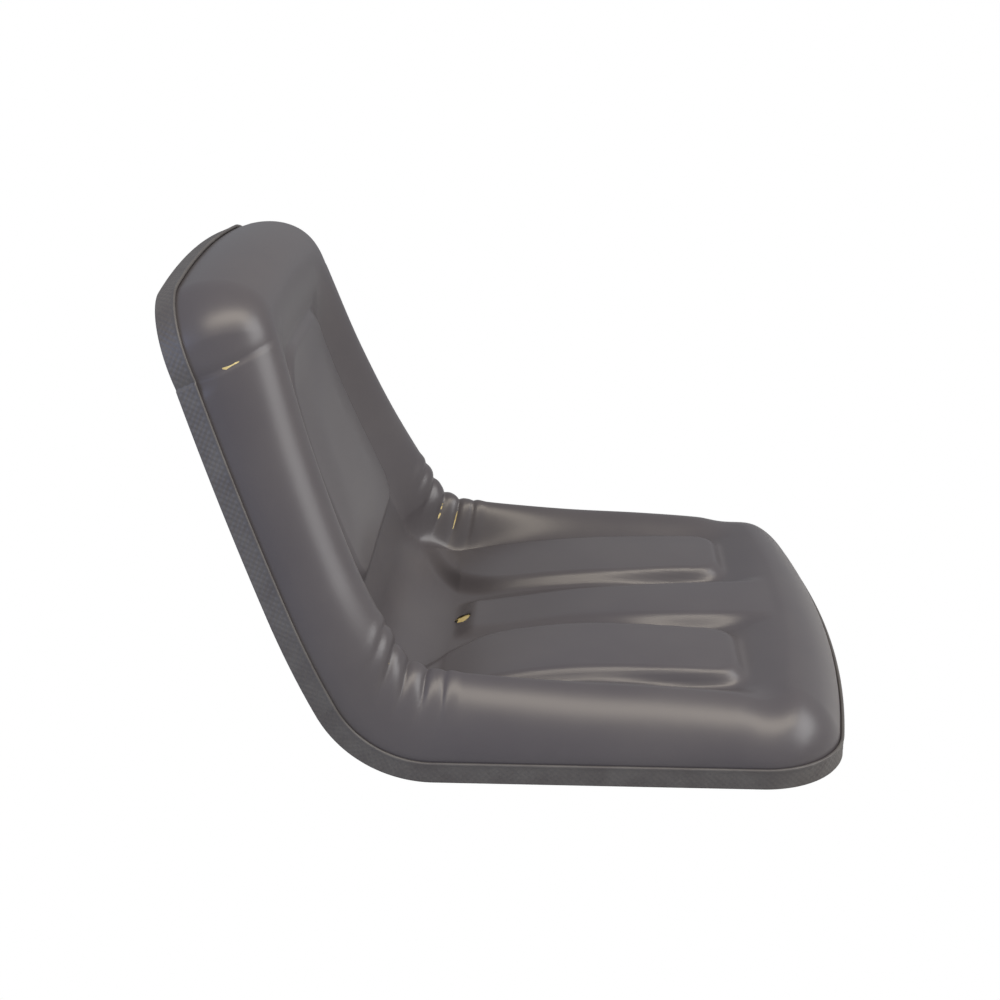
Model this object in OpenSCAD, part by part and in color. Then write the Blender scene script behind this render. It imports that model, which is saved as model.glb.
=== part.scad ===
// Bucket seat for a garden machine: a bent steel shell, a moulded cushion under a formed
// vinyl cover, and an embossed edge strip round the rim. Millimetres.
// The origin is the centre of the mounting pattern on the underside. +X is the seat's front,
// +Y its left side and +Z is up.
//
// The shell is a sheet that runs flat under the seat, bends up and follows a large arc in the
// back. A place on it is given by s, the length along the sheet from the middle of the front
// edge, by y across it, and by h, the height above the sheet's outer face.

/* [Shell outline] */
// Overall width across the edge strip
seat_w = 480; // [400:1:560]
// Width of the back at its top corners
top_w = 318; // [290:1:380]
// Length of the flat base, from the front edge to the bend
base_len = 338; // [300:1:400]
// Length of the back, from the bend to its top edge
back_len = 333; // [280:1:400]
// Radius of the bend on the outside of the shell
bend_r = 99; // [80:1:120]
// Angle that the bend turns through
bend_angle = 63.6; // [55:0.1:70]
// Radius of the back's gentle forward curve
back_curve_r = 2900; // [1400:10:4000]
// Radius of the bowed front edge
front_crown_r = 1100; // [600:10:2000]
// Radius of the front corners
front_corner_r = 71; // [40:1:80]
// Radius of the bowed top edge
top_crown_r = 1200; // [800:10:3000]
// Radius of the top corners
top_corner_r = 66; // [40:1:80]

/* [Edge strip] */
// Height of the edge strip
trim_h = 17; // [14:0.5:22]
// Thickness of the strip's outer wall
trim_wall = 2.5; // [1.5:0.1:3.5]
// Thickness of the lip that wraps under the rim
trim_lip = 2.3; // [1.5:0.1:3]
// Width of that lip
trim_lip_w = 16; // [10:0.5:24]

/* [Steel shell] */
// Thickness of the pressed steel
pan_t = 1.6; // [1.2:0.1:2.5]
// Height of the upturned flange, from the sheet's outer face
flange_h = 13; // [9:0.5:16]
// Depth of the pressed stiffening ribs
rib_depth = 1.6; // [1:0.1:2]
// Width of the stiffening ribs
rib_w = 16; // [12:1:24]

/* [Mounting] */
// Bolt spacing from front to back
bolt_dx = 203.2; // [150:0.1:230]
// Bolt spacing across the seat
bolt_dy = 285.75; // [200:0.05:320]
// Distance from the front edge to the middle of the bolt pattern
mount_back = 180.5; // [160:0.5:220]
// Diameter of the bolts' clearance holes
bolt_hole_d = 9; // [8.5:0.1:11]
// Nominal thread diameter of the weld nuts
thread_d = 8; // [6:1:8]
// Width across flats of the weld nuts
nut_af = 13; // [12:1:15]
// Height of the weld nuts
nut_h = 6.5; // [5:0.5:8]
// Width of each mounting plate
plate_w = 52; // [36:1:60]
// Length of each mounting plate
plate_len = 262; // [230:1:300]

/* [Cushion] */
// Thickness of the vinyl skin
skin_t = 1.4; // [1:0.1:2]
// Height of the seat's top at the front roll
roll_h = 57; // [45:1:65]
// Height of the thigh pads and ridge in the middle of the seat
pad_h = 51; // [40:1:60]
// Height of the cushion at the bottom of the sump
sump_h = 27; // [22:1:32]
// Height of the raised panel in the back
panel_h = 46; // [38:1:56]
// Height of the bolster beside the thigh pads
seat_crest_h = 61; // [56:1:72]
// Height of the bolster at the bend
hip_crest_h = 71; // [66:1:82]
// Height of the bolster beside the back panel
back_crest_h = 66; // [60:1:78]
// Depth of the grooves beside the pads, the ridge and the panel
groove_depth = 9; // [5:1:12]
// Width of the bolster, from the rim to the groove inside it
bolster_w = 80; // [70:1:90]
// Half width of the centre ridge
ridge_half = 32; // [24:1:40]
// Half width of the raised panel in the back
panel_half = 106; // [90:1:112]

/* [Drain] */
// Inner diameter of the drain tube
drain_d = 10; // [8:1:14]
// Wall of the drain tube
drain_wall = 2; // [1.5:0.1:3]
// Distance from the front edge to the drain hole
drain_back = 330; // [270:1:340]

/* [Hidden] */
$fn = 48;

// Clearances between pieces
sheet_gap = 0.2;   // strip lip to shell
soft_gap = 0.3;    // foam to its neighbours
wall_gap = 0.3;    // skin to the strip and to the flange
nut_pocket = 3;    // foam round each nut
cut = 1;           // how far cutters run past a face

half_w = seat_w / 2;
half_top = top_w / 2;
corner_s = back_len - top_corner_r - 12;   // where the back's straight sides end

// Heights of the layers above the sheet's outer face
plate_t = trim_lip + sheet_gap;
pan_top = plate_t + pan_t;
foam_bottom = pan_top + soft_gap;
skin_bottom = plate_t + 1;

// Insets of the layers from the strip's outer wall
skin_inset = trim_wall + wall_gap;
pan_inset = skin_inset + skin_t + wall_gap;
foam_inset = pan_inset + pan_t + wall_gap;

// Lengths along the sheet where the bend starts, where it ends, and the top edge
s_bend = base_len;
s_back = s_bend + bend_r * bend_angle * PI / 180;
s_top = s_back + back_len;

// Side view of the sheet: places and turning angle
x_bend = mount_back - base_len;
x_back = x_bend - bend_r * sin(bend_angle);
z_back = bend_r * (1 - cos(bend_angle));
back_sweep = back_len / back_curve_r * 180 / PI;
back_centre_x = x_back + back_curve_r * sin(bend_angle);
back_centre_z = z_back + back_curve_r * cos(bend_angle);

function turn(s) = s <= s_bend ? 0
    : s <= s_back ? (s - s_bend) / bend_r * 180 / PI
    : bend_angle + (s - s_back) / back_curve_r * 180 / PI;
function sheet_x(s) = s <= s_bend ? mount_back - s
    : s <= s_back ? x_bend - bend_r * sin(turn(s))
    : back_centre_x - back_curve_r * sin(turn(s));
function sheet_z(s) = s <= s_bend ? 0
    : s <= s_back ? bend_r * (1 - cos(turn(s)))
    : back_centre_z - back_curve_r * cos(turn(s));
function place(s, y, h) = [sheet_x(s) + h * sin(turn(s)), y, sheet_z(s) + h * cos(turn(s))];

// The back narrows towards its top: a smooth start over a quarter of it, then straight sides
taper_start = 0.25;
function taper(t) = (t < 0 ? 0 : t < taper_start ? t * t / (2 * taper_start) : t - taper_start / 2)
    / (1 - taper_start / 2);
function side(s) = half_w - (half_w - half_top) * taper((s - s_back) / back_len);
half_corner = side(s_top - top_corner_r);  // half width where the top corners start

// How far a bowed edge of radius r lies behind its own middle at y
function bow(y, r) = r - sqrt(r * r - y * y);
function ramp(t) = let (u = min(1, max(0, t))) u * u * (3 - 2 * u);

// Straight stretches that each corner arc is made of
corner_steps = 8;

// Outline of a bowed end, from its middle to the straight side: [distance in, half width]
function end_outline(half, crown_r, corner_r) =
    let (a = asin((half - corner_r) / (crown_r - corner_r)),
         cx = crown_r - (crown_r - corner_r) * cos(a), cy = half - corner_r)
    concat([for (i = [0 : 6]) let (t = a * i / 6) [crown_r * (1 - cos(t)), crown_r * sin(t)]],
           [for (i = [1 : corner_steps]) let (t = a + (90 - a) * i / corner_steps)
               [cx - corner_r * cos(t), cy + corner_r * sin(t)]]);
function mirrored(list) = concat(list, [for (i = [len(list) - 1 : -1 : 1]) [list[i][0], -list[i][1]]]);

// Outline of the flat base inside an inset, in x and y
function base_outline(inset, over) = mirrored(concat(
    [for (p = end_outline(half_w - inset, front_crown_r - inset, front_corner_r - inset))
        [mount_back - inset - p[0], p[1]]], [[x_bend - over, half_w - inset]]));

// Outline of the back inside an inset, seen square to its middle: up the back, and across it
back_tilt = bend_angle + back_sweep / 2;
function back_outline(inset) =
    let (tip = back_len - inset, end = end_outline(half_corner - inset, top_crown_r - inset, top_corner_r - inset))
    mirrored(concat([for (p = end) [tip - p[0], p[1]]],
        [for (i = [8 : -1 : 0]) let (u = corner_s * i / 8) [u, side(s_back + u) - inset]],
        [[-bend_r / 2, half_w - inset]]));

// One stretch of the sheet between two heights, inside an inset from the rim. A cutter runs
// a little over the planes where the stretches meet.
module base_slab(h0, h1, inset, over = 0) {
    translate([0, 0, h0]) linear_extrude(h1 - h0) polygon(base_outline(inset, over));
}
module bend_slab(h0, h1, inset, over = 0) {
    translate([x_bend, 0, bend_r]) rotate([90, 0, 0])
        rotate_extrude(angle = bend_angle + 2 * over, start = -90 - bend_angle - over, $fn = 180)
            translate([bend_r - h1, inset - half_w]) square([h1 - h0, seat_w - 2 * inset]);
}
module back_slab(h0, h1, inset, over = 0) {
    intersection() {
        translate([back_centre_x, 0, back_centre_z]) rotate([90, 0, 0])
            rotate_extrude(angle = back_sweep + 2 + over, start = -92 - bend_angle - back_sweep, $fn = 720)
                translate([back_curve_r - h1, inset - half_w]) square([h1 - h0, seat_w - 2 * inset]);
        translate([x_back, 0, z_back]) rotate([0, back_tilt, 0])
            rotate([0, 0, 180]) translate([0, 0, -40]) linear_extrude(140) polygon(back_outline(inset));
    }
}

// The strip: an outer wall and a lip that wraps under the rim, in three stretches
module edge_trim() {
    color("#2a2828") {
        difference() {
            base_slab(0, trim_h, 0);
            base_slab(trim_lip, trim_h + cut, trim_wall, cut);
            base_slab(-cut, trim_h, trim_lip_w, cut);
        }
        difference() {
            bend_slab(0, trim_h, 0);
            bend_slab(trim_lip, trim_h + cut, trim_wall, cut);
            bend_slab(-cut, trim_h, trim_lip_w, cut);
        }
        difference() {
            back_slab(0, trim_h, 0);
            back_slab(trim_lip, trim_h + cut, trim_wall, cut);
            back_slab(-cut, trim_h, trim_lip_w, cut);
        }
    }
}

// The same shell outline again, but of pressed steel: a plate with an upturned flange.
// Its ribs are pressed outwards, and stay above the face that the seat is bolted down on.
rib_y = 60;
rib_half_len = 118;
back_rib_y = 92;
rib_start = s_back + 46;
rib_end = s_top - 84;

module pan_shell() {
    difference() {
        base_slab(plate_t, flange_h, pan_inset);
        base_slab(pan_top, flange_h + cut, pan_inset + pan_t, cut);
    }
    difference() {
        bend_slab(plate_t, flange_h, pan_inset);
        bend_slab(pan_top, flange_h + cut, pan_inset + pan_t, cut);
    }
    difference() {
        back_slab(plate_t, flange_h, pan_inset);
        back_slab(pan_top, flange_h + cut, pan_inset + pan_t, cut);
    }
}
module base_rib(h0, h1, w, half_len) {
    translate([0, 0, h0]) linear_extrude(h1 - h0) {
        square([2 * half_len, w], center = true);
        for (x = [-half_len, half_len]) translate([x, 0]) circle(d = w);
    }
}
module back_rib(h0, h1, w, s0, s1) {
    translate([back_centre_x, 0, back_centre_z]) rotate([90, 0, 0])
        rotate_extrude(angle = (s1 - s0) / back_curve_r * 180 / PI,
                       start = -90 - bend_angle - (s1 - s_back) / back_curve_r * 180 / PI, $fn = 720)
            translate([back_curve_r - h1, -w / 2]) square([h1 - h0, w]);
}
module seat_pan() {
    color("#1c1c1e") difference() {
        union() {
            pan_shell();
            for (y = [-rib_y, rib_y]) translate([0, y, 0])
                base_rib(plate_t - rib_depth, pan_top, rib_w, rib_half_len);
            for (y = [-back_rib_y, 0, back_rib_y]) translate([0, y, 0])
                back_rib(plate_t - rib_depth, pan_top, rib_w, rib_start, rib_end);
        }
        for (y = [-rib_y, rib_y]) translate([0, y, 0])
            base_rib(pan_top - rib_depth, pan_top + cut, rib_w - 2 * pan_t, rib_half_len);
        for (y = [-back_rib_y, 0, back_rib_y]) translate([0, y, 0])
            back_rib(pan_top - rib_depth, pan_top + cut, rib_w - 2 * pan_t, rib_start + pan_t, rib_end - pan_t);
        bolt_holes(plate_t - cut, pan_top + cut);
        drain_bore(0, flange_h);
    }
}

// The four bolt places, and the holes through shell and plates
module at_bolts() {
    for (x = [-bolt_dx / 2, bolt_dx / 2], y = [-bolt_dy / 2, bolt_dy / 2]) translate([x, y, 0]) children();
}
module bolt_holes(z0, z1) {
    at_bolts() translate([0, 0, z0]) cylinder(h = z1 - z0, d = bolt_hole_d);
}

// A flat doubler plate under the shell, level with the strip's lip
plate_corner = 8;
module mount_plate(y) {
    color("#3a3a3c") difference() {
        translate([0, y, 0]) linear_extrude(plate_t) {
            square([plate_len, plate_w - 2 * plate_corner], center = true);
            square([plate_len - 2 * plate_corner, plate_w], center = true);
            for (i = [-1, 1], j = [-1, 1])
                translate([i * (plate_len / 2 - plate_corner), j * (plate_w / 2 - plate_corner)])
                    circle(r = plate_corner);
        }
        bolt_holes(-cut, plate_t + cut);
    }
}
module mount_plate_left() { mount_plate(bolt_dy / 2); }
module mount_plate_right() { mount_plate(-bolt_dy / 2); }

module weld_nuts() {
    color("#8f9296") at_bolts() translate([0, 0, pan_top]) difference() {
        cylinder(h = nut_h, d = nut_af / cos(30), $fn = 6);
        translate([0, 0, -cut]) cylinder(h = nut_h + 2 * cut, d = thread_d);
    }
}

// The tube that lines the drain hole, from just below the cover's face to the underside
drain_x = mount_back - drain_back;
drain_r = drain_d / 2 + drain_wall;
drain_top = sump_h - 0.6;
module drain_bore(z0, z1) {
    translate([drain_x, 0, z0]) cylinder(h = z1 - z0, r = drain_r + soft_gap);
}
module drain_tube() {
    color("#202022") translate([drain_x, 0, sheet_gap]) difference() {
        cylinder(h = drain_top - sheet_gap, r = drain_r);
        translate([0, 0, -cut]) cylinder(h = drain_top + 2 * cut, d = drain_d);
    }
}

// Cushion form. Lengths along the sheet where the seat's features start and end
roll_in = 62;               // inner foot of the front roll
pad_front = 84;             // front of the thigh pads
sump_s = drain_back;        // lowest place of the seat
panel_s = s_back + 70;      // lower edge of the back panel
panel_top = s_top - 92;     // its upper edge
soft = 10;                  // width of the steps beside raised places
pad_in = ridge_half + 2 * soft;
pad_out = half_w - bolster_w - soft;
crest_in = 46;              // distance of the bolster's crest from the rim
top_roll_w = 125;           // width of the rise from the panel to the top edge
wall_foot = 21;             // height where the cushion's side starts to round over
wall_power = 2.2;

// Height of the grooves and of what is raised beside them, along the middle of the seat
function floor_h(s) = lookup(s, [[0, roll_h], [roll_in, roll_h], [pad_front, roll_h - groove_depth],
    [230, pad_h - groove_depth], [sump_s - 24, sump_h], [s_bend + 14, sump_h], [s_back, sump_h + 5],
    [panel_s, panel_h - groove_depth], [s_top, panel_h - groove_depth]]);
function pads(s, y) = groove_depth * ramp((s - pad_front) / soft) * ramp((sump_s - 12 - s) / 30)
    * ramp((y - pad_in + soft) / soft) * ramp((pad_out + soft - y) / soft);
function ridge(s, y) = groove_depth * ramp((s - roll_in) / soft) * ramp((sump_s - 14 - s) / 16)
    * ramp((ridge_half + soft - y) / soft);
function panel(s, y) = groove_depth * ramp((s - panel_s) / soft) * ramp((panel_top - s) / soft)
    * ramp((panel_half + soft - y) / soft);
function crest_h(s) = lookup(s, [[30, roll_h - 9], [110, roll_h - 1], [170, seat_crest_h], [250, seat_crest_h + 2],
    [s_bend, hip_crest_h], [s_back, hip_crest_h - 2], [s_back + 80, back_crest_h], [s_top, back_crest_h]]);

// Distance in from the rim near a bowed end, at a point e in from its middle and y across,
// where the straight side is across away
function rim_in(e, y, across, half, crown_r, corner_r) =
    let (a = asin((half - corner_r) / (crown_r - corner_r)),
         u = crown_r - (crown_r - corner_r) * cos(a) - e, v = y - half + corner_r)
    v > 0 && u > 0 && atan2(v, u) > a ? corner_r - norm([u, v])
        : min(across, crown_r - norm([crown_r - e, y]));

// Height of the cover's outer face above the sheet
function cushion_h(s, y_signed) =
    let (y = abs(y_signed), across = side(s) - y, from_top = s_top - s,
         inner = floor_h(s) + pads(s, y) + ridge(s, y) + panel(s, y),
         up_side = ramp((bolster_w - across) / (bolster_w - crest_in)) * ramp((s - roll_in + soft) / 50),
         up_top = ramp((top_roll_w - from_top) / (top_roll_w - crest_in)),
         body = inner + (crest_h(s) - inner) * max(up_side, up_top),
         d = s < s_bend ? rim_in(s, y, across, half_w, front_crown_r, front_corner_r)
             : rim_in(from_top, y, across, half_corner, top_crown_r, top_corner_r),
         rise = 1 - pow(1 - min(1, max(0, d) / crest_in), wall_power))
    wall_foot + (body - wall_foot) * pow(rise, 1 / wall_power);

// Rows of the cushion's net inside an inset: [length in the middle, length at the side, half width].
// Rows inside the first keep their place whatever the inset, so that nested faces follow each other.
first_in = 9;
function corner_row(k, inset, half, crown_r, corner_r) =
    let (r = corner_r - inset, a = asin((half - corner_r) / (crown_r - corner_r)),
         cx = crown_r - (crown_r - corner_r) * cos(a), t = a + (90 - a) * k / corner_steps)
    [k == 0 ? inset : first_in + (cx - first_in) * pow((k - 1) / (corner_steps - 1), 1.3),
     cx - r * cos(t), half - corner_r + r * sin(t)];
function front_row(k, inset) = corner_row(k, inset, half_w, front_crown_r, front_corner_r);
function top_row(k, inset) = let (row = corner_row(k, inset, half_corner, top_crown_r, top_corner_r))
    [s_top - row[0], s_top - row[1], row[2]];
front_end = front_row(corner_steps, 0)[0];
function net_rows(inset) = concat(
    [for (k = [0 : corner_steps]) front_row(k, inset)],
    [for (f = [0.04, 0.12, 0.3, 0.5, 0.7, 0.84, 0.93, 1])
        let (s = front_end + (s_bend - front_end) * f) [s, s, half_w - inset]],
    [for (i = [1 : 7]) let (s = s_bend + (s_back - s_bend) * i / 7) [s, s, half_w - inset]],
    [for (i = [1 : 8]) let (s = s_back + corner_s * i / 8) [s, s, side(s) - inset]],
    [for (k = [corner_steps : -1 : 0]) top_row(k, inset)]);

// Columns, as distances from the middle of a full-width row: close together at the rim, then
// at the raised places. On a narrower row the edge columns keep their distance from the rim.
edge_cols = 7;
half_cols = concat([for (j = [0 : edge_cols]) half_w - first_in - (bolster_w - first_in) * pow(j / edge_cols, 1.3)],
    [pad_out, pad_out - soft, (pad_out + pad_in) / 2, pad_in + soft / 2, pad_in - soft, ridge_half + 2, ridge_half / 2]);
net_cols = concat([-half_w], [for (y = half_cols) -y], [0], [for (j = [len(half_cols) - 1 : -1 : 0]) half_cols[j]],
    [half_w]);
function col_y(y, half) = sign(y) * (half_w - abs(y) < bolster_w ? half - half_w + abs(y)
    : (half - bolster_w) * abs(y) / (half_w - bolster_w));

// A point's length along the sheet bends with the row, as the front and top edges bow.
// The net's rim follows the inset outline, and its inside keeps to the rows of the full outline.
function row_s(row, y, crown_r) = row[1] == row[0] ? row[0]
    : row[0] + (row[1] - row[0]) * bow(y, crown_r) / bow(row[2], crown_r);
function row_crown(row) = row[0] < s_bend ? front_crown_r : top_crown_r;
// The cushion's rim stands square to the back's middle, like the strip and the flange, so a
// point at height h there, and in the back's upper half, takes the place that the outline
// has when it is seen from there
function square_s(s, h) = s <= s_back ? s : s_back + back_len / 2
    + back_curve_r * PI / 180 * asin((s - s_back - back_curve_r * sin(back_sweep / 2)) / (back_curve_r - h));

// A point near a bowed end, moved in where it lies less than a least distance from the outline
function kept_in(e, y, least, half, crown_r, corner_r) =
    let (a = asin((half - corner_r) / (crown_r - corner_r)),
         u = crown_r - (crown_r - corner_r) * cos(a) - e, v = abs(y) - half + corner_r,
         scale = (corner_r - least) / norm([u, v]))
    v > 0 && u > 0 && atan2(v, u) > a
        ? (scale < 1 ? [e + u * (1 - scale), sign(y) * (half - corner_r + v * scale)] : [e, y])
        : [max(e, bow(y, crown_r) + least), y];
ring_step = 3;
function net_place(row, y, least) =
    let (s = row_s(row, y, row_crown(row)), front = s < s_bend,
         p = front ? kept_in(s, y, least, half_w, front_crown_r, front_corner_r)
             : kept_in(s_top - s, y, least, half_corner, top_crown_r, top_corner_r))
    [front ? p[0] : s_top - p[0], p[1]];
function net(inset, drop, flat, rim_ease = 0) =
    let (rims = net_rows(inset), rows = net_rows(0), m = len(rows) - 1, n = len(net_cols) - 1)
    [for (i = [0 : m], j = [0 : n])
        let (ring = min(i, m - i, j, n - j), row = ring == 0 ? rims[i] : rows[i], flat_y = col_y(net_cols[j], row[2]),
             p = ring == 0 ? [row_s(row, flat_y, row_crown(row) - inset), flat_y]
                 : net_place(row, flat_y, first_in + ring_step * (ring - 1)),
             h = flat ? drop : cushion_h(p[0], p[1]) - drop - (ring == 0 ? rim_ease : 0))
        place(ring == 0 || p[0] > s_back + back_len / 2 ? square_s(p[0], h) : p[0], p[1], h)];
function rim_loop(rows, cols) = concat([for (j = [0 : cols - 2]) j], [for (i = [0 : rows - 2]) i * cols + cols - 1],
    [for (j = [cols - 1 : -1 : 1]) (rows - 1) * cols + j], [for (i = [rows - 1 : -1 : 1]) i * cols]);
function net_faces(rows, cols, from, up) = [for (i = [0 : rows - 2], j = [0 : cols - 2])
    let (a = from + i * cols + j, b = a + 1, c = a + cols, d = c + 1, left = j < cols / 2 - 1)
    each up ? (left ? [[a, b, c], [b, d, c]] : [[a, b, d], [a, d, c]])
            : (left ? [[a, c, b], [b, c, d]] : [[a, d, b], [a, c, d]])];
function strip_faces(loop_a, loop_b) = [for (k = [0 : len(loop_a) - 1])
    let (n = (k + 1) % len(loop_a), a = loop_a[k], b = loop_a[n], c = loop_b[k], d = loop_b[n])
    each [[a, c, b], [b, c, d]]];

net_n = len(net_cols);
net_m = len(net_rows(0));
net_size = net_n * net_m;
rim = rim_loop(net_m, net_n);
rim_n = len(rim);

rim_ease = 0.8;   // how much lower the foam's rim lies, to clear the skin's shoulder
module foam_cushion() {
    points = concat(net(foam_inset, skin_t + soft_gap, false, rim_ease), net(foam_inset, foam_bottom, true));
    faces = concat(net_faces(net_m, net_n, 0, true), net_faces(net_m, net_n, net_size, false),
        strip_faces(rim, [for (k = rim) k + net_size]));
    color("#d8c98a") difference() {
        polyhedron(points, faces, convexity = 6);
        at_bolts() translate([0, 0, pan_top]) cylinder(h = nut_h + nut_pocket, r = nut_af / 2 + nut_pocket);
        drain_bore(0, sump_h + 2 * groove_depth);
    }
}

module vinyl_cover() {
    inner_inset = skin_inset + skin_t;
    outer = net(skin_inset, 0, false);
    inner = net(inner_inset, skin_t, false);
    outer_foot = net(skin_inset, skin_bottom, true);
    inner_foot = net(inner_inset, skin_bottom, true);
    points = concat(outer, inner, [for (k = rim) outer_foot[k]], [for (k = rim) inner_foot[k]]);
    foot_a = [for (k = [0 : rim_n - 1]) 2 * net_size + k];
    foot_b = [for (k = foot_a) k + rim_n];
    faces = concat(net_faces(net_m, net_n, 0, true), net_faces(net_m, net_n, net_size, false),
        strip_faces(rim, foot_a), strip_faces(foot_a, foot_b),
        strip_faces(foot_b, [for (k = rim) k + net_size]));
    color("#4e4c4d") difference() {
        polyhedron(points, faces, convexity = 6);
        drain_bore(0, sump_h + 2 * groove_depth);
    }
}

seat_pan();
foam_cushion();
vinyl_cover();
edge_trim();
mount_plate_left();
mount_plate_right();
weld_nuts();
drain_tube();
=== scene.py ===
# %% [markdown]
# # A bucket seat for a garden machine
# The real seat is a bent steel shell, a block of moulded foam, a vinyl skin that is formed over
# the foam, and an embossed strip that hides the edge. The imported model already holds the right
# sizes. This lesson gives each visible piece its true form and finish.

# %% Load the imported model
import math
import bpy
import numpy as np
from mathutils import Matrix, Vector


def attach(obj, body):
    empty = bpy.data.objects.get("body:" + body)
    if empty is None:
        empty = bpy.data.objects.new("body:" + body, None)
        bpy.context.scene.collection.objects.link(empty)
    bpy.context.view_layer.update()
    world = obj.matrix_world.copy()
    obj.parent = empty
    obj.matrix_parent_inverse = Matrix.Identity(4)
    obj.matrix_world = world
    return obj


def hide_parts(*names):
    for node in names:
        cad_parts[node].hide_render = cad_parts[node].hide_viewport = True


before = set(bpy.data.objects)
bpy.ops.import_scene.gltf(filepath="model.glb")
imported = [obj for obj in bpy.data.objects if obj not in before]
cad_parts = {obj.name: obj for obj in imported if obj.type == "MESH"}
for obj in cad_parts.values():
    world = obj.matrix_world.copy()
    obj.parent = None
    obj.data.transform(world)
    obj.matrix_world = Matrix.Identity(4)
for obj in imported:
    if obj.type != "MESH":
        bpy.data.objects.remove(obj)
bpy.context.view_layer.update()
print("nodes", sorted(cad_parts))

# %% [markdown]
# ## The camera
# A picture can be matched only through the right lens, so the camera comes first. The distance
# and height were found by fitting the rim's outline to the picture. A long lens from a little
# above the seat gives the calm perspective of a catalogue picture.

# %% Place the camera
def add_object(name, data, location=(0, 0, 0), rotation=(0, 0, 0)):
    made = bpy.data.objects.new(name, data)
    bpy.context.scene.collection.objects.link(made)
    made.location, made.rotation_euler = location, rotation
    return made

scene = bpy.context.scene
lens = bpy.data.cameras.new("catalogue_lens")
lens.sensor_width, lens.lens = 36, 59.4
camera = add_object("catalogue_camera", lens, (-0.059, -1.355, 0.649),
                    (math.radians(90 - 20.4), 0, math.radians(2.4)))
scene.camera = camera
print("camera height", camera.location.z)

# %% [markdown]
# ## The bent sheet
# Everything on this seat follows one sheet: flat under the thighs, a tight bend, then a back with
# a slight curve. A place is easy to name by s, the length along the sheet from the front edge, by
# y across it and by h above it. One function turns these three into a point in space, so a form
# can be designed flat and is bent afterwards. All lengths in the lesson are millimetres.

# %% Sizes of the sheet
MM = 0.001
SEAT_HALF, TOP_HALF = 240.0, 159.0
BASE_LEN, BACK_LEN, FRONT_X = 338.0, 333.0, 180.5
BEND_R, BEND_TURN, BACK_R = 99.0, math.radians(63.6), 2900.0
FRONT_BOW, FRONT_CORNER = 1100.0, 71.0
TOP_BOW, TOP_CORNER = 1200.0, 66.0
S_BEND = BASE_LEN
S_BACK = S_BEND + BEND_R * BEND_TURN
S_TOP = S_BACK + BACK_LEN
STRIP_H = 17.0
print("length along the sheet", round(S_TOP))

# %% From the flat form to the bent one
def ramp(t):
    t = np.clip(t, 0, 1)
    return t * t * (3 - 2 * t)

def sheet_frame(s):
    """Place and turning angle of the bare sheet at length s."""
    s = np.asarray(s, float)
    turn = np.where(s < S_BEND, 0, np.where(s < S_BACK, (s - S_BEND) / BEND_R, BEND_TURN + (s - S_BACK) / BACK_R))
    bend_x = FRONT_X - S_BEND
    back_x, back_z = bend_x - BEND_R * math.sin(BEND_TURN), BEND_R * (1 - math.cos(BEND_TURN))
    x = np.where(s < S_BEND, FRONT_X - s, np.where(s < S_BACK, bend_x - BEND_R * np.sin(turn),
                 back_x - BACK_R * (np.sin(turn) - math.sin(BEND_TURN))))
    z = np.where(s < S_BEND, 0, np.where(s < S_BACK, BEND_R * (1 - np.cos(turn)),
                 back_z + BACK_R * (math.cos(BEND_TURN) - np.cos(turn))))
    return x, z, turn

def place(s, y, h):
    x, z, turn = sheet_frame(s)
    return np.stack([x + h * np.sin(turn), y + 0 * x, z + h * np.cos(turn)], -1)

def side(s):
    """Half width of the seat at s: the back narrows after a smooth start."""
    t, soft = (np.asarray(s, float) - S_BACK) / BACK_LEN, 0.25
    part = np.where(t < 0, 0, np.where(t < soft, t * t / (2 * soft), t - soft / 2)) / (1 - soft / 2)
    return SEAT_HALF - (SEAT_HALF - TOP_HALF) * part

def squared(s, h):
    """The rim walls of the back stand square to its middle, so high points shift along it a little."""
    mid = BACK_R * math.sin(BACK_LEN / 2 / BACK_R)
    return np.where(s <= S_BACK, s, S_BACK + BACK_LEN / 2 + BACK_R * np.arcsin((s - S_BACK - mid) / (BACK_R - h)))

HALF_CORNER = float(side(S_TOP - TOP_CORNER))
print("half width at the top corners", round(HALF_CORNER, 1))

# %% [markdown]
# ## The cushion's form
# The skin is formed in one mould: side bolsters, a front roll, two thigh pads with a ridge between
# them, a low sump in the bend and a raised panel in the back. Subdivision modelling would do, but
# a height above the sheet is easier to tune: each feature is one smooth term, and the highlights
# of a glossy skin show at once whether the terms meet softly.

# %% Smooth lines through a few measured heights
def through(s, *points):
    """A smooth line through [length, value] points, flat beyond both ends."""
    xs, ys = np.array(points, float).T
    slope = np.gradient(ys, xs)
    slope[0] = slope[-1] = 0
    s = np.clip(s, xs[0], xs[-1])
    k = np.clip(np.searchsorted(xs, s, side="right") - 1, 0, len(xs) - 2)
    w = xs[k + 1] - xs[k]
    t = (s - xs[k]) / w
    return ((1 + 2 * t) * (1 - t) ** 2 * ys[k] + t * (1 - t) ** 2 * w * slope[k]
            + t * t * (3 - 2 * t) * ys[k + 1] + t * t * (t - 1) * w * slope[k + 1])

def soft_min(a, b, k):
    m = np.clip(0.5 + 0.5 * (b - a) / k, 0, 1)
    return b * (1 - m) + a * m - k * m * (1 - m)

def soft_max(a, b, k):
    return -soft_min(-a, -b, k)

# %% Distance from the rim
def end_distance(e, y, half, bow, corner):
    """Distance inside a bowed end with round corners, for a point e in from the end."""
    a = math.asin((half - corner) / (bow - corner))
    u, v = bow - (bow - corner) * math.cos(a) - e, y - half + corner
    in_corner = (v > 0) & (u > 0) & (np.arctan2(v, u) > a)
    return np.where(in_corner, corner - np.hypot(u, v), bow - np.hypot(bow - e, y))

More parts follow.
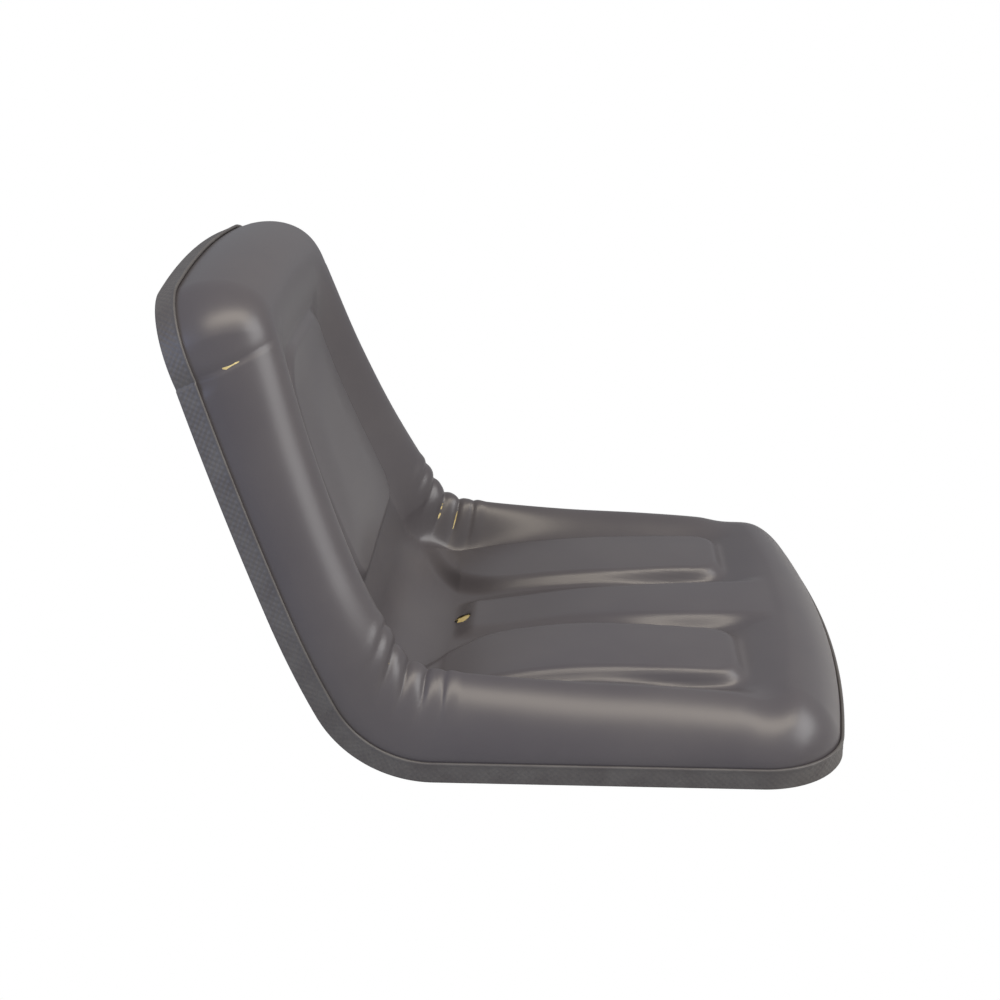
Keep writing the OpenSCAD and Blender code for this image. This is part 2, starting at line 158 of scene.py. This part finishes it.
def rim_distance(s, y):
    """The nearest distance to the rim, and softer ones that round the inner corners more."""
    across = side(s) - y
    end = np.where(s < S_BEND, end_distance(s, y, SEAT_HALF, FRONT_BOW, FRONT_CORNER),
                   end_distance(S_TOP - s, y, HALF_CORNER, TOP_BOW, TOP_CORNER))
    near = np.minimum(across, end)
    return near, soft_min(across, end, 40), end, across

# %% Height of the skin above the sheet
FOOT_H = 16.0        # where the skin meets the strip
CREST_IN = 48.0      # the bolster's crest, in from the rim
SKIN_IN = 2.8        # the strip's wall stands outside this

def skin_height(s, y):
    y = np.abs(y)
    near, soft, end, across = rim_distance(s, y)
    # the ground that pads and panel rise from
    ground = through(s, [0, 57], [58, 57], [92, 46.5], [220, 44], [290, 36], [335, 27], [360, 25.5], [400, 27],
                     [450, 33], [500, 37], [600, 42], [S_TOP - 70, 54], [S_TOP, 60])
    # the ridge between the thighs
    ridge_half = through(s, [90, 34], [223, 29], [330, 28])
    ridge_top = through(s, [60, 57.5], [90, 57.5], [223, 50], [330, 36])
    ridge = np.maximum(ridge_top - ground, 0) * ramp((ridge_half + 15 - y) / 17) * ramp((338 - s) / 22) \
        * (1 - 0.10 * np.minimum(y / 36, 1) ** 2)
    # the two thigh pads, whose rear ends slant outwards into the bend
    inner = y - through(s, [95, 55], [223, 45], [300, 47], [345, 52])
    outer = through(s, [95, 159], [250, 154], [340, 160], [420, 168]) - y
    rear = (through(y, [40, 336], [60, 340], [110, 380], [166, 412]) - s) * 0.55
    pad_top = through(s, [85, 55.5], [160, 56], [230, 54], [300, 45], [345, 36], [400, 34])
    inside = soft_min(soft_min(inner, outer, 22), soft_min(s - 86, rear, 16), 22)
    pads = np.maximum(pad_top - ground, 0) * ramp(inside / 14) \
        * (1 + 0.10 * np.sin(np.clip((y - 50) / 105, 0, 1) * math.pi))
    # the raised panel of the back
    panel_half = through(s, [480, 112], [560, 106], [690, 84])
    inside = soft_min(soft_min(panel_half + 8 - y, s - 478, 26), S_TOP - 88 - s, 40)
    fade = ramp((y - 25) / 60) * ramp((s - 640) / 40)
    panel = (10.5 * ramp(inside / 13) + 3.5 * ramp(inside / 70)) * (1 - 0.0 * fade)
    # bolsters and the roll at the top
    crest = through(s, [20, 46], [75, 53.5], [110, 57.5], [160, 61], [240, 64.5], [300, 69], [345, 73], [400, 73],
                    [450, 70], [520, 67], [620, 70], [S_TOP - 60, 77], [S_TOP, 78])
    width = through(s, [60, 84], [200, 88], [330, 84], [400, 92], [480, 112], [560, 100], [690, 90], [S_TOP, 88])
    body = ground + ridge + pads + panel
    up_side = ramp((width - across) / (width - CREST_IN)) * ramp((s - 46) / 60)
    up_top = ramp((128 - end) / (128 - CREST_IN)) * (s > S_BACK)
    up = 1 - (1 - up_side) * (1 - up_top)
    top = body + (crest - body) * up
    # the outer shoulder down to the strip
    power = through(s, [40, 1.55], [330, 1.5], [460, 1.8], [S_TOP - 80, 1.9], [S_TOP, 2.0])
    rise = np.clip((near - SKIN_IN) / (CREST_IN - SKIN_IN), 0, 1)
    return FOOT_H + (top - FOOT_H) * (1 - (1 - rise) ** power) ** (1 / power)

for name, s_at, y_at in (("front roll", 50, 0), ("ridge", 200, 0), ("thigh pad", 200, 100), ("sump", 356, 0),
                         ("panel", 580, 0), ("bolster", 200, 192), ("top roll", S_TOP - 48, 0)):
    print(name, round(float(skin_height(np.array(s_at), np.array(y_at))), 1))

# %% [markdown]
# ## A net of faces that follows the rim
# The highlights run along the bolsters, so the faces should too. A plain grid is drawn in two
# distances, p from the front or top edge and q from the side. In the corners the grid's squares
# are pressed into a quarter circle, so that every row keeps its distance from the rim.

# %% Rows and columns
def steps(points):
    """Values from [value, step] pairs: from each value on, steps of that size."""
    out = [points[0][0]]
    for (a, step), (b, _) in zip(points, points[1:]):
        n = max(1, round((b - a) / step))
        out += [a + (b - a) * (i + 1) / n for i in range(n)]
    return np.array(out)

END_ROWS = 150.0     # rows further in than this run straight across
q_half = steps([(SKIN_IN, 1.1), (12, 1.9), (50, 2.6), (104, 3.6), (170, 2.6), (212, 4), (SEAT_HALF, 1)])
p_rows = steps([(SKIN_IN, 1.1), (12, 1.9), (50, 2.6), (120, 3.4), (END_ROWS, 1)])
s_rows = steps([(END_ROWS, 4.2), (292, 2.4), (316, 1.5), (462, 2.4), (500, 4.2), (S_TOP - END_ROWS, 1)])
print("columns", 2 * len(q_half) - 1, "rows", 2 * len(p_rows) + len(s_rows) - 2)

# %% Press the grid's corners round
BOLSTER = 80.0       # columns this near to the rim keep their distance from it

def across_to_y(q, half):
    full = SEAT_HALF - q
    return np.where(q < BOLSTER, half - q, (half - BOLSTER) * full / (SEAT_HALF - BOLSTER))

def end_net(p, q, half, bow, corner, side_at):
    """Rows p in from a bowed end and columns q in from the side: length in from the end, and y."""
    a = math.asin((half - corner) / (bow - corner))
    cx, cy = bow - (bow - corner) * math.cos(a), half - corner
    p, q = np.meshgrid(p, q, indexing="ij")
    y_here = across_to_y(q, half)
    alpha = a * y_here / cy
    deep = np.minimum(p, corner)
    e, y = bow - (bow - deep) * np.cos(alpha), (bow - deep) * np.sin(alpha)
    big_p, big_q = np.maximum(corner - p, 1e-9), np.maximum(corner - q, 1e-9)
    m = np.maximum(big_p, big_q)
    theta = np.where(big_p >= big_q, big_q / big_p / 2, 1 - big_p / big_q / 2)
    t = a + (math.pi / 2 - a) * theta
    in_corner = (q < corner) & (p < corner)
    e, y = np.where(in_corner, cx - m * np.cos(t), e), np.where(in_corner, cy + m * np.sin(t), y)
    e, y = np.where((q < corner) & (p >= corner), cx, e), np.where((q < corner) & (p >= corner), y_here, y)
    f = np.clip((p - corner) / (END_ROWS - corner), 0, 1)
    e = e + f * (END_ROWS - e)
    straight = across_to_y(q, half + (side_at(e) - half) * np.minimum(1, 6 * f))
    return e, np.where(p > corner, y + (straight - y) * np.where(q < corner, 1, f), y)

def skin_net(p_rows, s_rows, q_half):
    """Arrays of s and y over the whole seat, rows from front to top, columns from right to left."""
    e, y = end_net(p_rows, q_half, SEAT_HALF, FRONT_BOW, FRONT_CORNER, lambda e: SEAT_HALF + 0 * e)
    e2, y2 = end_net(p_rows, q_half, HALF_CORNER, TOP_BOW, TOP_CORNER, lambda e: side(S_TOP - e))
    s_mid, q_mid = np.meshgrid(s_rows[1:-1], q_half, indexing="ij")
    s = np.vstack([e, s_mid, (S_TOP - e2)[::-1]])
    half_y = np.vstack([y, across_to_y(q_mid, side(s_mid)), y2[::-1]])
    return np.hstack([s, s[:, -2::-1]]), np.hstack([-half_y, half_y[:, -2::-1]])

net_s, net_y = skin_net(p_rows, s_rows, q_half)
print("net", net_s.shape, "quads", (net_s.shape[0] - 1) * (net_s.shape[1] - 1))

# %% [markdown]
# ## The vinyl skin
# At the hips the flat vinyl has too much length for the tight inner curve, so it gathers in four
# or five pleats that run down the outside of the bolster. A simulation could make them, but their
# places are known from the picture, so each pleat is a sharp valley between two soft bulges,
# pressed in along the surface's own direction.

# %% Pleats at the hips
PLEAT_PIVOT = (-88.0, 297.0)                     # x and z where the pleats' lines meet
PLEATS = np.radians([15.2, 18.6, 22.4, 26.3, 30.0])
PLEAT_DEEP = [1.9, 3.2, 3.6, 3.4, 2.2]

def pleat_press(points, s, y):
    """How far the skin is pressed in at each point."""
    near, _, _, across = rim_distance(s, np.abs(y))
    angle = np.arctan2(PLEAT_PIVOT[0] - points[..., 0], PLEAT_PIVOT[1] - points[..., 2])
    angle = angle + np.radians(0.35) * np.sin(across / 9.0)
    inner_end = ramp((82 - across) / 22)
    outer_end = ramp((across - 7) / 26)
    press = np.zeros_like(angle)
    for at, deep in zip(PLEATS, PLEAT_DEEP):
        off = np.abs(angle - at) / np.radians(1.75)
        press += deep * np.exp(-(off * 2.1) ** 1.25)
    bulge = 1.5 * ramp((angle - PLEATS[0] + 0.06) / 0.05) * ramp((PLEATS[-1] + 0.06 - angle) / 0.05)
    reach = np.where((s > 280) & (s < 520), 1.0, 0.0)
    return (press - bulge) * inner_end * outer_end * reach

def face_normals(points):
    """Direction of the surface at each point of a net, pointing out of the cushion."""
    along, over = np.gradient(points, axis=0), np.gradient(points, axis=1)
    normal = np.cross(over, along)
    return normal / np.maximum(np.linalg.norm(normal, axis=-1, keepdims=True), 1e-9)

# %% Build a mesh from a net
def mesh_object(name, points, faces):
    mesh = bpy.data.meshes.new(name)
    mesh.from_pydata([tuple(p) for p in np.asarray(points, float).reshape(-1, 3) * MM], [], faces)
    mesh.validate()
    mesh.shade_smooth()
    return add_object(name, mesh)

def grid_faces(rows, cols, wrap=False, start=0):
    out = []
    for i in range(rows - 1):
        for j in range(cols if wrap else cols - 1):
            a, b = start + i * cols + j, start + i * cols + (j + 1) % cols
            out.append((a, a + cols, b + cols, b))
    return out

def net_rim(rows, cols):
    return ([j for j in range(cols - 1)] + [i * cols + cols - 1 for i in range(rows - 1)]
            + [(rows - 1) * cols + j for j in range(cols - 1, 0, -1)] + [i * cols for i in range(rows - 1, 0, -1)])

DRAIN_X, DRAIN_R = FRONT_X - 330.0, 7.3
SQUARE_FROM = S_BACK + BACK_LEN / 2

def skin_points(s, y, drop=0.0, pleats=True):
    h = skin_height(s, y) - drop
    on_back = s > SQUARE_FROM
    points = place(np.where(on_back, squared(s, h), s), y, h)
    if pleats:
        points = points - face_normals(points) * pleat_press(points, s, y)[..., None]
    return points

def make_skin():
    points = skin_points(net_s, net_y)
    rows, cols = net_s.shape
    rim = net_rim(rows, cols)
    flat_s, flat_y = net_s.reshape(-1)[rim], net_y.reshape(-1)[rim]
    skirt = [place(squared(flat_s, h), flat_y, h) for h in (11.0, 5.0)]
    flat = points.reshape(-1, 3)
    n, m = rows * cols, len(rim)
    faces = [f[::-1] for f in grid_faces(rows, cols)]
    faces += [(rim[k], rim[(k + 1) % m], n + (k + 1) % m, n + k)[::-1] for k in range(m)]
    faces += [(n + k, n + (k + 1) % m, n + m + (k + 1) % m, n + m + k)[::-1] for k in range(m)]
    # open the drain hole: faces inside go, and its edge becomes a true circle
    away = np.hypot(flat[:, 0] - DRAIN_X, flat[:, 1])
    faces = [f for f in faces if not all(v < n and away[v] < DRAIN_R for v in f)]
    edge = {v for f in faces for v in f if v < n and away[v] < DRAIN_R}
    for v in edge:
        out = (flat[v, :2] - (DRAIN_X, 0)) / max(away[v], 1e-6)
        flat[v, :2] = np.array([DRAIN_X, 0]) + out * DRAIN_R
    return mesh_object("vinyl_skin", np.vstack([flat] + skirt), faces)

skin = make_skin()
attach(skin, "root")
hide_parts("vinyl_cover")
print("skin faces", len(skin.data.polygons))

# %% [markdown]
# ## The foam inside
# Nobody sees the foam, but it fills the skin, so it is the same form a skin's thickness lower.
# Fewer faces are enough. Its flat side lies on the steel shell.

# %% Foam block
FOAM_IN, FOAM_DOWN, FOAM_BOTTOM = 6.4, 1.9, 4.4

def make_foam():
    s, y = skin_net(steps([(FOAM_IN, 4), (150, 8)]), steps([(150, 9), (S_TOP - 150, 9)]),
                    steps([(FOAM_IN, 4), (104, 6), (SEAT_HALF, 8)]))
    rows, cols = s.shape
    top = skin_points(s, y, FOAM_DOWN, pleats=False).reshape(-1, 3)
    press = np.maximum(pleat_press(skin_points(s, y, 0, pleats=False), s, y), 0).reshape(-1)
    top[:, 2] -= press * 1.2
    rim = net_rim(rows, cols)
    flat_s, flat_y = s.reshape(-1), y.reshape(-1)
    low_s = flat_s.copy()
    low_s[rim] = squared(flat_s[rim], FOAM_BOTTOM)
    low = place(low_s, flat_y, FOAM_BOTTOM)
    n, m = rows * cols, len(rim)
    faces = [f[::-1] for f in grid_faces(rows, cols)] + grid_faces(rows, cols, start=n)
    faces += [(rim[k], rim[(k + 1) % m], n + rim[(k + 1) % m], n + rim[k])[::-1] for k in range(m)]
    return mesh_object("foam_block", np.vstack([top, low]), faces)

foam = make_foam()
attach(foam, "root")
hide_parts("foam_cushion")
print("foam faces", len(foam.data.polygons))

# %% [markdown]
# ## The embossed strip
# A strip of stiff vinyl is pressed round the rim. A roller has embossed its face with staggered
# diamonds, and its upper edge ends in a smooth bead. A bump texture would look flat where the
# strip turns edge-on, and the faces are cheap, so the diamonds are real.

# %% Path round the rim
def rim_path(step, inset=0.0):
    """Points of the rim's outline as s and y, once round, about one step apart."""
    def end(half, bow, corner):
        a = math.asin((half - corner) / (bow - corner))
        cx, cy = bow - (bow - corner) * math.cos(a), half - corner
        n1, n2 = round(bow * a / step), round(corner * (math.pi / 2 - a) / step)
        t = np.linspace(0, a, n1, endpoint=False)
        u = np.linspace(a, math.pi / 2, n2)
        return (np.concatenate([bow - (bow - inset) * np.cos(t), cx - (corner - inset) * np.cos(u)]),
                np.concatenate([(bow - inset) * np.sin(t), cy + (corner - inset) * np.sin(u)]))
    e1, y1 = end(SEAT_HALF, FRONT_BOW, FRONT_CORNER)
    e2, y2 = end(HALF_CORNER, TOP_BOW, TOP_CORNER)
    s_mid = np.linspace(e1[-1], S_TOP - e2[-1], round((S_TOP - e2[-1] - e1[-1]) / step) + 1)[1:-1]
    s = np.concatenate([e1, s_mid, (S_TOP - e2)[::-1]])
    y = np.concatenate([y1, side(s_mid) - inset, y2[::-1]])
    return np.concatenate([s, s[-2:0:-1]]), np.concatenate([y, -y[-2:0:-1]])

STRIP_STEP = 1.05
path_s, path_y = rim_path(STRIP_STEP)
path = place(path_s, path_y, 0.0)
gap = np.linalg.norm(np.roll(path, -1, 0) - path, axis=1)
length = np.concatenate([[0], np.cumsum(gap)[:-1]])
print("rim length", round(gap.sum()), "points", len(path))

# %% Emboss the strip
CELL_ALONG, CELL_UP, RELIEF = 5.6, 5.2, 0.55     # millimetres between diamonds, and their depth
turns = round(gap.sum() / CELL_ALONG)
phase = length / gap.sum() * turns

def strip_profile():
    """Points across the strip as inset, height and share of the emboss."""
    face = [(0.0, h, 1.0) for h in np.linspace(0.9, 14.3, 19)]
    bead = [(0.1, 14.8, 0), (-0.25, 15.4, 0), (-0.3, 16.1, 0), (0.15, 16.8, 0), (1.0, 17.0, 0), (2.0, 16.8, 0),
            (2.5, 16.0, 0), (2.5, 8.0, 0), (2.5, 2.3, 0), (16.0, 2.3, 0), (16.0, 0.0, 0), (8.0, 0.0, 0), (0.6, 0.0, 0)]
    return face + bead

def make_strip():
    loops = []
    for inset, h, share in strip_profile():
        a = np.pi * (phase + h / CELL_UP)
        b = np.pi * (phase - h / CELL_UP)
        weave = np.abs(np.sin(a)) ** 0.55 * np.abs(np.sin(b)) ** 0.55
        back = share * RELIEF * (1 - weave) * ramp((h - 0.8) / 1.0) * ramp((14.6 - h) / 0.8)
        s0, y0 = rim_path(STRIP_STEP, max(inset, 0))
        point = place(squared(s0, h), y0, h)
        tangent = np.roll(point, -1, 0) - np.roll(point, 1, 0)
        _, _, turn = sheet_frame(s0)
        up = np.stack([np.sin(turn), 0 * turn, np.cos(turn)], -1)
        outward = np.cross(tangent, up)
        outward /= np.linalg.norm(outward, axis=1, keepdims=True)
        loops.append(point - outward * (back + min(inset, 0))[:, None] if share else point - outward * min(inset, 0))
    rows, cols = len(loops), len(path)
    points = np.vstack(loops)
    faces = grid_faces(rows, cols, wrap=True)
    faces += [((rows - 1) * cols + j, j, (j + 1) % cols, (rows - 1) * cols + (j + 1) % cols) for j in range(cols)]
    return mesh_object("edge_strip", points, faces)

strip = make_strip()
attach(strip, "root")
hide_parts("edge_trim")
print("strip faces", len(strip.data.polygons))

# %% [markdown]
# ## Finishes
# Each finish starts from the real material. Colours are written as sRGB hex values, the way a
# picture editor shows them, and one function turns them to the linear values that light needs.

# %% Colour and node helpers
def linear(hex_value):
    part = [int(hex_value[i:i + 2], 16) / 255 for i in (1, 3, 5)]
    return [p / 12.92 if p <= 0.04045 else ((p + 0.055) / 1.055) ** 2.4 for p in part] + [1.0]

def add_node(tree, kind, links=(), **settings):
    """Adds a node. Settings with a capital letter are sockets, the others are properties."""
    made = tree.nodes.new(kind)
    for key, value in settings.items():
        if key[0].isupper():
            made.inputs[key.replace("_", " ")].default_value = value
        else:
            setattr(made, key, value)
    for socket, source in links:
        tree.links.new(made.inputs[socket], source)
    return made

def new_finish(name):
    made = bpy.data.materials.new(name)
    made.use_nodes = True
    made.node_tree.nodes.clear()
    return made, made.node_tree

def close_finish(tree, shader):
    add_node(tree, "ShaderNodeOutputMaterial", [("Surface", shader.outputs[0])])

print("vinyl grey in linear light", [round(v, 3) for v in linear("#4f4c4e")[:3]])

# %% [markdown]
# ### Calendered vinyl
# The skin is plasticised PVC, rolled smooth and then drawn over the foam. It has a soft gloss:
# broad bright bands where a shoulder turns to the lamp. A very fine grain and faint clouds of dull
# and glossy keep it from looking like wet paint.

# %% Vinyl skin
def vinyl_finish():
    made, tree = new_finish("calendered_vinyl")
    where = add_node(tree, "ShaderNodeTexCoord")
    cloud = add_node(tree, "ShaderNodeTexNoise", [("Vector", where.outputs["Object"])], Scale=14.0, Detail=3.0)
    tone = add_node(tree, "ShaderNodeValToRGB", [("Fac", cloud.outputs["Fac"])])
    tone.color_ramp.elements[0].position, tone.color_ramp.elements[0].color = 0.3, linear("#565255")
    tone.color_ramp.elements[1].position, tone.color_ramp.elements[1].color = 0.7, linear("#5b5759")
    dull = add_node(tree, "ShaderNodeMapRange", [("Value", cloud.outputs["Fac"])], To_Min=0.30, To_Max=0.36)
    grain = add_node(tree, "ShaderNodeTexVoronoi", [("Vector", where.outputs["Object"])], Scale=1400.0)
    bump = add_node(tree, "ShaderNodeBump", [("Height", grain.outputs["Distance"])], Strength=0.05, Distance=0.0002)
    # soft PVC has an index of refraction of about 1.53
    vinyl = add_node(tree, "ShaderNodeBsdfPrincipled",
                     [("Base Color", tone.outputs["Color"]), ("Roughness", dull.outputs["Result"]),
                      ("Normal", bump.outputs["Normal"])], IOR=1.53)
    close_finish(tree, vinyl)
    return made

skin.data.materials.append(vinyl_finish())

# %% [markdown]
# ### Embossed strip, foam, painted steel
# The strip is a stiffer, duller vinyl. Foam scatters light and never shines. The shell and plates
# are pressed steel in black paint, whose slight orange peel breaks up reflections. The weld nuts
# keep their zinc.

# %% The other finishes
def plain_finish(name, dark, light, roughness, ior=1.5, metallic=0.0, scale=60.0, bump_mm=0.03, bump_scale=900.0):
    made, tree = new_finish(name)
    where = add_node(tree, "ShaderNodeTexCoord")
    cloud = add_node(tree, "ShaderNodeTexNoise", [("Vector", where.outputs["Object"])], Scale=scale, Detail=4.0)
    tone = add_node(tree, "ShaderNodeValToRGB", [("Fac", cloud.outputs["Fac"])])
    tone.color_ramp.elements[0].position, tone.color_ramp.elements[0].color = 0.35, linear(dark)
    tone.color_ramp.elements[1].position, tone.color_ramp.elements[1].color = 0.65, linear(light)
    dull = add_node(tree, "ShaderNodeMapRange", [("Value", cloud.outputs["Fac"])],
                    To_Min=roughness - 0.05, To_Max=roughness + 0.05)
    fine = add_node(tree, "ShaderNodeTexNoise", [("Vector", where.outputs["Object"])], Scale=bump_scale, Detail=2.0)
    bump = add_node(tree, "ShaderNodeBump", [("Height", fine.outputs["Fac"])], Strength=0.5, Distance=bump_mm * MM)
    surface = add_node(tree, "ShaderNodeBsdfPrincipled",
                       [("Base Color", tone.outputs["Color"]), ("Roughness", dull.outputs["Result"]),
                        ("Normal", bump.outputs["Normal"])], IOR=ior, Metallic=metallic)
    close_finish(tree, surface)
    return made

strip.data.materials.append(plain_finish("embossed_strip_vinyl", "#5a5655", "#63605e", 0.46, ior=1.53))
foam.data.materials.append(plain_finish("moulded_foam", "#c9b273", "#e0cd92", 0.95, bump_mm=0.4, bump_scale=500.0))
black_paint = plain_finish("black_painted_steel", "#1c1c1f", "#212124", 0.36, bump_mm=0.05, bump_scale=400.0)
plate_paint = plain_finish("black_painted_plate", "#242426", "#2a2a2c", 0.42, bump_mm=0.05, bump_scale=400.0)
zinc = plain_finish("zinc_plated_steel", "#a9a79c", "#c2c0b2", 0.35, metallic=1.0, bump_mm=0.02)
drain_finish = plain_finish("moulded_black_plastic", "#141415", "#1a1a1b", 0.5, bump_mm=0.02)

for node, finish in (("seat_pan", black_paint), ("mount_plate_left", plate_paint),
                     ("mount_plate_right", plate_paint), ("weld_nuts", zinc), ("drain_tube", drain_finish)):
    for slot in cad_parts[node].material_slots:
        slot.material = finish
    print(node, "is now", finish.name)

# %% [markdown]
# ## Studio
# A catalogue picture of dark vinyl is made with large soft lamps: their mirror images are the
# bright bands on the shoulders. One long lamp hangs above the seat, a cool one stands at the left,
# and the white background is seen only by the camera; glossy surfaces mirror a dimmer pale world.

# %% Floor and background
def paper_finish():
    made, tree = new_finish("paper_floor")
    path_kind = add_node(tree, "ShaderNodeLightPath")
    paper = add_node(tree, "ShaderNodeBsdfDiffuse", Color=linear("#c9c9c9"))
    lit = add_node(tree, "ShaderNodeEmission", Color=(1, 1, 1, 1), Strength=1.0)
    close_finish(tree, add_node(tree, "ShaderNodeMixShader", [(0, path_kind.outputs["Is Camera Ray"]),
                                                             (1, paper.outputs[0]), (2, lit.outputs[0])]))
    return made

bpy.ops.mesh.primitive_plane_add(size=8, location=(0, 0, -0.0004))
floor = bpy.context.object
floor.name = "floor"
floor.data.materials.append(paper_finish())

world = bpy.data.worlds.new("studio")
scene.world = world
world.use_nodes = True
world.node_tree.nodes.clear()
seen = add_node(world.node_tree, "ShaderNodeLightPath")
room = add_node(world.node_tree, "ShaderNodeBackground", Color=linear("#e9ecf2"), Strength=0.42)
white = add_node(world.node_tree, "ShaderNodeBackground", Color=(1, 1, 1, 1), Strength=1.0)
sky = add_node(world.node_tree, "ShaderNodeMixShader", [(0, seen.outputs["Is Camera Ray"]), (1, room.outputs[0]),
                                                       (2, white.outputs[0])])
add_node(world.node_tree, "ShaderNodeOutputWorld", [("Surface", sky.outputs[0])])

# %% Lamps
def soft_lamp(name, place_at, look_at, size, power, colour):
    lamp = bpy.data.lights.new(name, "AREA")
    lamp.shape, lamp.size, lamp.size_y = "RECTANGLE", size[0], size[1]
    lamp.energy, lamp.color = power, linear(colour)[:3]
    aim = (Vector(look_at) - Vector(place_at)).to_track_quat("-Z", "Y")
    return add_object(name, lamp, place_at, aim.to_euler())

soft_lamp("long_overhead", (0.25, -0.55, 1.75), (-0.05, 0, 0.1), (1.8, 0.5), 17, "#fff4e2")
soft_lamp("front_right", (1.7, -0.3, 1.5), (-0.1, 0, 0.15), (1.4, 1.2), 22, "#ffffff")
soft_lamp("cool_left", (-1.5, -1.3, 0.9), (-0.2, 0, 0.2), (0.7, 1.0), 9, "#bcd0ff")

# %% Picture settings
scene.view_settings.view_transform = "Standard"
